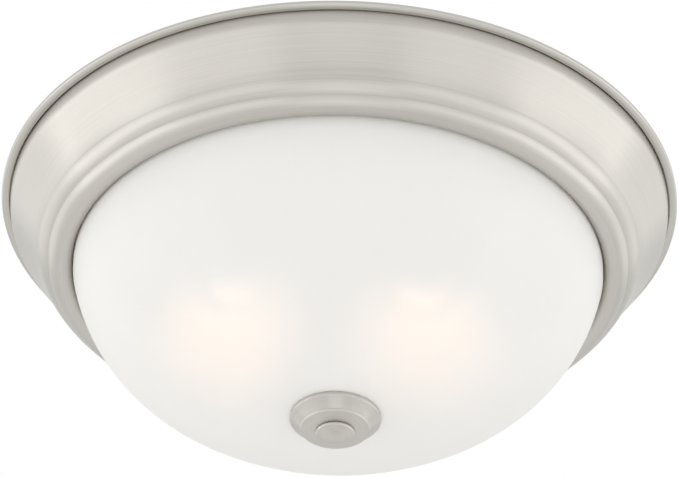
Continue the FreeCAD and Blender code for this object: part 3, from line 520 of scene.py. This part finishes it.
# slot: dark tone, light tone, scale of the mottle, range of roughness, grain, what it has besides
MOTTLED = {
    "galvanized_steel": ((0.66, 0.67, 0.68), (0.78, 0.79, 0.8), 140, (0.34, 0.5), 0, METAL),
    "lamp_cap_metal": ((0.72, 0.71, 0.68), (0.84, 0.83, 0.8), 200, (0.22, 0.34), 0, METAL),
    "solder": ((0.5, 0.5, 0.49), (0.7, 0.7, 0.68), 500, (0.3, 0.45), 0, METAL),
    "tungsten": ((0.4, 0.37, 0.33), (0.6, 0.55, 0.5), 800, (0.3, 0.4), 0, METAL),
    "brass": ((0.62, 0.45, 0.2), (0.8, 0.62, 0.32), 160, (0.24, 0.36), 0, METAL),
    "copper": ((0.66, 0.33, 0.2), (0.84, 0.47, 0.3), 260, (0.25, 0.4), 0, METAL),
    "green_screw": ((0.03, 0.22, 0.08), (0.06, 0.34, 0.13), 240, (0.3, 0.42), 0, PAINTED),
    "clear_glass": ((0.93, 0.95, 0.95), (0.97, 0.98, 0.98), 80, (0.03, 0.06), 0, CLEAR),
    "black_glass": ((0.01, 0.01, 0.012), (0.03, 0.03, 0.034), 120, (0.1, 0.2), 0, PLAIN),
    "porcelain": ((0.82, 0.81, 0.78), (0.9, 0.89, 0.86), 70, (0.12, 0.2), 0, GLAZED),
    "rubber": ((0.74, 0.74, 0.72), (0.82, 0.82, 0.8), 300, (0.5, 0.65), 0.00004, PLAIN),
    "orange_plastic": ((0.78, 0.22, 0.03), (0.9, 0.3, 0.05), 120, (0.32, 0.42), 0.00003, PLAIN),
    "nylon": ((0.02, 0.02, 0.022), (0.05, 0.05, 0.054), 200, (0.35, 0.45), 0, PLAIN),
    "black_insulation": ((0.012, 0.012, 0.013), (0.03, 0.03, 0.032), 260, (0.35, 0.45), 0, PLAIN),
    "white_insulation": ((0.74, 0.73, 0.7), (0.84, 0.83, 0.8), 260, (0.35, 0.45), 0, PLAIN),
}

MATERIALS = {slot: mottled(slot, *finish) for slot, finish in MOTTLED.items()}
for finish in (brushed_nickel, frosted_glass, lamp_glass, glass_fibre):
    MATERIALS[finish.__name__] = finish()


def dress(piece, slot, body, *replaced):
    """Gives a piece its finish, its body and the CAD nodes that it stands for."""
    piece.data.materials.clear()
    piece.data.materials.append(MATERIALS[slot])
    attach(piece, body)
    if replaced:
        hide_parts(*replaced)


# ---------------------------------------------------------------- pan


def pan_face():
    """The visible face, from the rod's hole over the plate, recess, lip, beads and wall to the crevice."""
    lip_depth = 43.1
    lip_round = 4.2
    bead_round = 12.0
    wall_hollow = 202.0
    neck_depth = 6.8
    neck_round = 6.8
    return line(
        (ROD_HOLE, PLATE_DEPTH),
        (RECESS_RADIUS, PLATE_DEPTH),
        (RECESS_RADIUS, lip_depth - lip_round),
        (RECESS_RADIUS + lip_round, lip_depth, -lip_round),
        (*LOWER_GROOVE, -2 * lip_round),
        (*UPPER_GROOVE, -bead_round),
        (*WALL_TOP, wall_hollow),
        (CREVICE_RADIUS, neck_depth, -neck_round),
        (CREVICE_RADIUS, CREVICE_END),
    )


def rim_fold():
    """The sheet folded back at the rim, from the crevice round the outer edge to the ceiling's side."""
    inner = CREVICE_RADIUS + 2 * CREVICE_ROUND
    bottom = 3.0
    bottom_end = 162.6
    edge_round = 0.6
    outer_depth = 1.9
    outer_round = 2.6
    return line(
        (CREVICE_RADIUS, CREVICE_END),
        (CREVICE_RADIUS + CREVICE_ROUND, CREVICE_END - CREVICE_ROUND, CREVICE_ROUND),
        (inner, CREVICE_END, CREVICE_ROUND),
        (inner, bottom - edge_round),
        (inner + edge_round, bottom, -edge_round),
        (bottom_end, bottom),
        (RIM_RADIUS, outer_depth, -outer_round),
        (RIM_RADIUS, SHEET),
        (RIM_RADIUS - SHEET, 0.0, -SHEET),
        (CREVICE_RADIUS, 0.0),
        (CREVICE_RADIUS - SHEET, SHEET, -SHEET),
    )


def rivet_spots():
    """Where the brackets' rivets pass the plate."""
    spots = []
    for side, _ in SIDES:
        spots += [(lamp_x(side) + across, RIVET_Y) for across in (-RIVET_ACROSS, RIVET_ACROSS)]
    return spots


def plate_holes():
    """Holes for the ground screw, the studs, the wires' bushings and the rivets."""
    x, y, radius = BUSHING_HOLE
    holes = [GROUND_HOLE, (0, STUD_Y, STUD_HOLE), (0, -STUD_Y, STUD_HOLE)]
    holes += [(side * x, y, radius) for side, _ in SIDES]
    return holes + [(*spot, RIVET_HOLE) for spot in rivet_spots()]


def pan():
    """The spun dish, one closed section with its real sheet, and the holes in its plate."""
    face = pan_face()
    outline = face[:-1] + rim_fold() + behind(face, SHEET)[::-1][1:]
    piece = lathe("pan", outline, sides=400, sharp=28)
    past = 2.0
    drill(piece, plate_holes(), PLATE_DEPTH - SHEET - past, PLATE_DEPTH + past)
    dress(piece, "brushed_nickel", "pan_group", "pan")


# ---------------------------------------------------------------- glass, cap and knob


def glass_shade():
    """The blown bowl with its rounded mouth and the hole at its lowest point."""
    outside = line((GLASS_RADIUS, GLASS_NECK_END), (*GLASS_JOIN, GLASS_SIDE), (*GLASS_HOLE, GLASS_CROWN))
    edge = GLASS_WALL / 2
    inner = GLASS_RADIUS - GLASS_WALL
    mouth = line(
        (inner, GLASS_TOP + edge),
        (inner + edge, GLASS_TOP, -edge),
        (GLASS_RADIUS, GLASS_TOP + edge, -edge),
    )
    section = mouth + outside + behind(outside, -GLASS_WALL)[::-1]
    dress(lathe("glass_shade", section, sides=384, sharp=40), "frosted_glass", "shade", "glass_shade")


def shade_grommet():
    """The rubber ring: a sleeve in the glass's hole and a flange under it."""
    edge_round = 0.35
    bore = 5.15
    sleeve = 5.9
    flange = 11.0
    top = 123.6
    seat = 126.6
    bottom = 128.3
    corners = [(bore, top), (sleeve, top), (sleeve, seat), (flange, seat), (flange, bottom), (bore, bottom)]
    ring = lathe("shade_grommet", eased(corners, edge_round), sides=96, sharp=40)
    dress(ring, "rubber", "shade", "shade_grommet")


def finial_cap():
    """The stamped cap: a flat seat for the knob, a shallow cone, a rolled step and a steep cone."""
    wall = 0.8
    hole = 7.3
    seat = 134.1
    seat_radius = 9.9
    shallow_cone_end = (15.4, 132.9)
    step = (16.9, 131.6)
    step_round = 1.3
    steep_cone_end = (21.3, 127.5)
    radius = 21.9
    edge = 126.9
    edge_round = 1.2
    top = 125.4
    face = line(
        (hole, seat),
        (seat_radius, seat),
        shallow_cone_end,
        (*step, -step_round),
        steep_cone_end,
        (radius, edge, -edge_round),
        (radius, top),
    )
    section = face + behind(face, wall)[::-1]
    dress(lathe("finial_cap", section, sides=240, sharp=30), "brushed_nickel", "finial_cap", "finial_cap")


def finial_knob():
    """The knob: a bored hub that reaches up through the cap, and a domed head with a rounded edge."""
    bore = 4.93
    bore_end = 136.7
    hub = 7.0
    hub_top = 128.6
    head_top = 134.2
    head_flat = 9.2
    head_edge = (9.55, 134.45)
    head_edge_round = 0.5
    dome_radius = 8.6
    dome_depth = 136.1
    dome_edge_round = 1.2
    tip = 138.3
    rise = tip - dome_depth
    dome_ball = (dome_radius ** 2 + rise ** 2) / (2 * rise)
    section = line(
        (bore, hub_top),
        (hub, hub_top),
        (hub, head_top),
        (head_flat, head_top),
        (*head_edge, head_edge_round),
        (dome_radius, dome_depth, dome_edge_round),
        (0.0, tip, dome_ball),
        (0.0, bore_end),
        (bore, bore_end),
    )
    dress(lathe("finial_knob", section, sides=200, sharp=30), "brushed_nickel", "finial_knob", "finial_knob")


# ---------------------------------------------------------------- lamps and sockets


def lamp_place(side):
    """Turns a piece drawn hanging from z = 0 into its lamp's place, with the base towards -Y."""
    turn = Matrix.Rotation(-math.pi / 2, 4, "X")
    spot = Vector((lamp_x(side), LAMP_SHIFT, -LAMP_DEPTH)) * MM
    return Matrix.Translation(spot) @ turn


def bulb_glass(word, where):
    """The blown envelope: most of a ball, and a shoulder that runs into the neck in the cap."""
    wall = 0.8
    ball = 30.0
    ball_end = (27.18, 12.7)
    shoulder_end = (19.5, 29.0)
    shoulder_hollow = 69.0
    neck_end = (13.4, 47.3)
    seat = 12.3
    seat_from = 49.4
    seat_to = 52.4
    outside = line(
        (0.0, -ball),
        (*ball_end, ball),
        (*shoulder_end, -shoulder_hollow),
        neck_end,
        (seat, seat_from),
        (seat, seat_to),
    )
    section = outside + behind(outside, -wall)[::-1]
    piece = lathe(f"bulb_glass_{word}", section, sides=128, sharp=40, place=where)
    dress(piece, "lamp_glass", f"lamp_{word}", f"bulb_glass_{word}")


def bulb_cap(word, where):
    """The rolled screw cap of a lamp, drawn in below its thread to the insulator."""
    wall = 0.3
    radius = 12.95
    edge = 48.9
    skirt_end = 66.9
    thread_end = 67.5
    face = [(radius, edge), (radius, skirt_end), (12.6, 67.6), (9.6, 70.5), (9.4, 70.9)]
    piece = threaded(f"bulb_cap_{word}", face, wall, last=thread_end, place=where, **BASE_THREAD)
    dress(piece, "lamp_cap_metal", f"lamp_{word}", f"bulb_cap_{word}")


def socket_shell(word, where):
    """The rolled screw shell of a socket."""
    wall = 0.4
    radius = 13.7
    edge = 49.3
    thread_end = 73.0
    floor = 79.4
    face = [(radius, edge), (radius, floor)]
    piece = threaded(f"socket_shell_{word}", face, wall, last=thread_end, place=where, **BASE_THREAD)
    dress(piece, "brass", "pan_group", f"socket_shell_{word}")


def socket_body(word, where):
    """The porcelain cup round a shell, with a hole in its floor for the contact."""
    edge_round = 0.9
    hole = 1.95
    inside = 13.8
    outside = 18.0
    mouth = 47.3
    mouth_radius = 16.4
    taper_end = 49.0
    floor = 79.5
    end = 84.0
    bevel = 1.8
    corners = [
        (hole, floor),
        (inside, floor),
        (inside, mouth),
        (mouth_radius, mouth),
        (outside, taper_end),
        (outside, end - bevel),
        (outside - bevel, end),
        (hole, end),
    ]
    piece = lathe(f"socket_body_{word}", eased(corners, edge_round), sides=128, sharp=40, place=where)
    dress(piece, "porcelain", "pan_group", f"socket_body_{word}")


def lamps():
    """Each lamp's envelope and cap, and its socket's shell and cup."""
    for side, word in SIDES:
        where = lamp_place(side)
        bulb_glass(word, where)
        bulb_cap(word, where)
        socket_shell(word, where)
        socket_body(word, where)


# ---------------------------------------------------------------- threaded tube and studs


def center_rod():
    """The threaded tube that carries the bowl."""
    radius = 4.85
    bore = 3.2
    top = 24.0
    end = 135.8
    bevel = 0.6
    plain = 0.2
    face = [(radius - bevel, top), (radius, top + bevel), (radius, end - bevel), (radius - bevel, end)]
    inside = [(bore, top), (bore, end)]
    piece = threaded("center_rod", face, inside, top + plain, end - plain, **ROD_THREAD)
    dress(piece, "galvanized_steel", "pan_group", "center_rod")


def studs():
    """The two screws that hang from the strap and hold the pan up."""
    radius = 2.05
    length = 41.0
    bevel = 0.5
    plain = 0.2
    face = [(radius, 0.0), (radius, length - bevel), (radius - bevel, length)]
    for number, way in ((1, -1), (2, 1)):
        where = Matrix.Translation(Vector((0, way * STUD_Y * MM, 0)))
        piece = threaded(f"stud_{number}", face, None, 0.0, length - plain, place=where, **STUD_THREAD)
        dress(piece, "galvanized_steel", "pan_group", "mounting_studs")


# ---------------------------------------------------------------- pad


def pad_section():
    """The ring's section with soft corners, in short steps for the waves."""
    step = 2.2
    corner_round = 5.0
    top = PAD_BOTTOM - PAD_THICK
    corners = [(PAD_INNER, top), (PAD_OUTER, top), (PAD_OUTER, PAD_BOTTOM), (PAD_INNER, PAD_BOTTOM)]
    soft = eased(corners, corner_round)
    section = []
    for (r0, d0), (r1, d1) in zip(soft, soft[1:] + soft[:1]):
        count = max(1, math.ceil(math.hypot(r1 - r0, d1 - d0) / step))
        section += [(r0 + (r1 - r0) * n / count, d0 + (d1 - d0) * n / count) for n in range(count)]
    return section


def pad_wave(spot):
    """Broad waves with small ones on them, mostly between 0 and 1; the scales are per metre."""
    broad = 38
    fine = 170
    fine_share = 0.22
    return 0.5 + 0.5 * noise.noise(spot * broad) + fine_share * noise.noise(spot * fine)


def pad_point(x, y, z):
    """A point of the pad: its top is sunk and its sides drawn in by waves, its bottom clears the rivets."""
    most_sunk = 2.2
    most_drawn = 2.0
    drawn_from = 0.4
    bottom_part = 1.1
    rivet_room = 1.9
    room_radius = 6.4
    room_slope = 2.2
    r = math.hypot(x, y) / MM
    depth = -z / MM
    wave = pad_wave(Vector((x, y, z)))
    height = (PAD_BOTTOM - depth) / PAD_THICK
    depth += max(0.0, most_sunk * wave * height)
    pull = max(0.0, most_drawn * wave) * min(1.0, height / drawn_from)
    outer_part = PAD_OUTER - PAD_THICK
    inner_part = PAD_INNER + PAD_THICK
    if r > outer_part:
        drawn = r - pull * min(1.0, (r - outer_part) / PAD_THICK)
    else:
        drawn = r + pull * max(0.0, (inner_part - r) / PAD_THICK)
    if depth > PAD_BOTTOM - bottom_part:
        for rivet in rivet_spots():
            near = math.dist((x / MM, y / MM), rivet)
            depth -= rivet_room * max(0.0, min(1.0, (room_radius - near) / room_slope))
    return (x * drawn / r, y * drawn / r, -depth * MM)


def insulation_pad():
    """A ring of glass fibre wadding that lies on the plate, soft at its edges."""
    points, faces = revolve(pad_section(), sides=400)
    piece = outward(make_piece("insulation_pad", [pad_point(*point) for point in points], faces, sharp=80))
    dress(piece, "glass_fibre", "pan_group", "insulation_pad")


# ---------------------------------------------------------------- what stays as the CAD has it


def carry_over():
    """The CAD pieces that are shown as they are take their finish from their own slot."""
    slots = {row["node"]: row["material_slot"] for row in frame["record"]["subparts"]}
    for name, node in nodes.items():
        if node.hide_render:
            continue
        node.data.materials.clear()
        node.data.materials.append(MATERIALS[slots[name]])
        smooth(node.data, sharp=30)


# ---------------------------------------------------------------- room, light and camera


def stage():
    """A pale floor far below, seen from above only."""
    half = 5.0
    low = -9.0
    corners = [(-half, -half, low), (half, -half, low), (half, half, low), (-half, half, low)]
    floor = make_piece("floor", corners, [(0, 1, 2, 3)])
    looks = Looks("pale_floor")
    tone = looks.blend(looks.noise(0.6, 2), (0.86, 0.86, 0.86), (0.9, 0.9, 0.9))
    looks.set(Base_Color=tone, Roughness=0.9)
    floor.data.materials.append(looks.material)


def world():
    """White behind the object; its light is strongest from straight below and above."""
    level = 0.82
    more_at_poles = 0.26
    made = bpy.data.worlds.new("studio")
    bpy.context.scene.world = made
    made.use_nodes = True
    sky = NodeTree(made.node_tree)
    steepness = sky.maths("ABSOLUTE", sky.axes(sky.add("ShaderNodeTexCoord").outputs["Generated"])[2])
    light = sky.maths("ADD", sky.maths("MULTIPLY", steepness, more_at_poles), level)
    path = sky.add("ShaderNodeLightPath").outputs
    seen = sky.maths("MAXIMUM", path["Is Camera Ray"], path["Is Transmission Ray"])
    mix = sky.add("ShaderNodeMixShader")
    sky.feed(mix.inputs[0], seen)
    for number, strength in ((1, light), (2, 1.0)):
        background = sky.add("ShaderNodeBackground")
        sky.feed(background.inputs["Color"], (1, 1, 1))
        sky.feed(background.inputs["Strength"], strength)
        sky.feed(mix.inputs[number], background.outputs[0])
    sky.feed(sky.add("ShaderNodeOutputWorld").inputs["Surface"], mix.outputs[0])


def add_light(name, kind, energy, spot):
    """A lamp that the camera doesn't see."""
    data = bpy.data.lights.new(name, kind)
    data.energy = energy
    made = bpy.data.objects.new(name, data)
    made.location = spot
    made.visible_camera = False
    bpy.context.scene.collection.objects.link(made)
    return made


def soft_box(name, azimuth, elevation, distance, width, height, power):
    """A soft studio lamp that faces the object; azimuth 0 is in front, and positive to the right."""
    turn = math.radians(azimuth)
    climb = math.radians(elevation)
    way = Vector((math.sin(turn) * math.cos(climb), -math.cos(turn) * math.cos(climb), math.sin(climb)))
    middle = Vector((0, 0, -0.07))
    made = add_light(name, "AREA", power, middle + way * distance)
    made.data.shape = "RECTANGLE"
    made.data.size = width
    made.data.size_y = height
    made.rotation_mode = "QUATERNION"
    made.rotation_quaternion = way.to_track_quat("Z", "Y")


def neck_glow(word, side):
    """The light of a lamp's neck, as the frosted bowl shows it; nothing else sees it."""
    neck_y = -55.0
    below = 14.0
    power = 0.09
    radius = 18.0
    spot = Vector((lamp_x(side), neck_y, -LAMP_DEPTH - below)) * MM
    made = add_light(f"neck_glow_{word}", "POINT", power, spot)
    made.data.color = (1.0, 0.56, 0.32)
    made.data.shadow_soft_size = radius * MM
    made.visible_diffuse = False
    made.visible_glossy = False
    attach(made, f"lamp_tip_{word}")


def studio_lights():
    """Wide boxes round both sides, weaker on the right, small ones in front, and the lamps' necks."""
    # where it stands, azimuth, elevation, width, power
    boxes = (("front", 42, -22, 3.0, 11), ("side", 85, -12, 3.4, 23), ("back", 122, 3, 3.0, 11))
    for side, word, share in ((-1, "left", 1.0), (1, "right", 0.93)):
        for where, azimuth, elevation, width, power in boxes:
            name = f"{word}_{where}_box"
            soft_box(name, side * azimuth, elevation, 4.0, width, height=2.4, power=power * share)
    for name, elevation, power in (("near_box", -28, 2), ("low_box", -58, 3)):
        soft_box(name, 0, elevation, 3.5, width=1.6, height=1.2, power=power)
    for side, word in SIDES:
        neck_glow(word, side)


def camera():
    """The photo's viewpoint: below and in front, looking up at the light."""
    distance = 3.6
    climb = math.radians(35.874)
    roll = math.radians(1.03)
    picture_width = 679
    focal_pixels = 7356.2
    aim_right_pixels = 0.8
    aim_down_pixels = 33.28
    sensor = 36.0
    spot = Vector((0, -distance * math.cos(climb), -distance * math.sin(climb)))
    ahead = -spot.normalized()
    right = Vector((1, 0, 0))
    up = right.cross(ahead)
    look = (ahead * focal_pixels + right * aim_right_pixels - up * aim_down_pixels).normalized()
    across = look.cross(up).normalized()
    above = across.cross(look)
    # turned clockwise in the picture by the roll, the picture's own axes lean the other way
    x_axis = across * math.cos(roll) + above * math.sin(roll)
    y_axis = above * math.cos(roll) - across * math.sin(roll)
    data = bpy.data.cameras.new("camera")
    data.sensor_fit = "HORIZONTAL"
    data.sensor_width = sensor
    data.lens = focal_pixels * sensor / picture_width
    data.clip_start = 0.1
    data.clip_end = 60.0
    made = bpy.data.objects.new("camera", data)
    made.matrix_world = Matrix.Translation(spot) @ Matrix((x_axis, y_axis, -look)).transposed().to_4x4()
    bpy.context.scene.collection.objects.link(made)
    bpy.context.scene.camera = made


pan()
glass_shade()
shade_grommet()
finial_cap()
finial_knob()
lamps()
center_rod()
studs()
insulation_pad()
carry_over()
stage()
world()
studio_lights()
camera()
bpy.context.scene.view_settings.view_transform = "Standard"
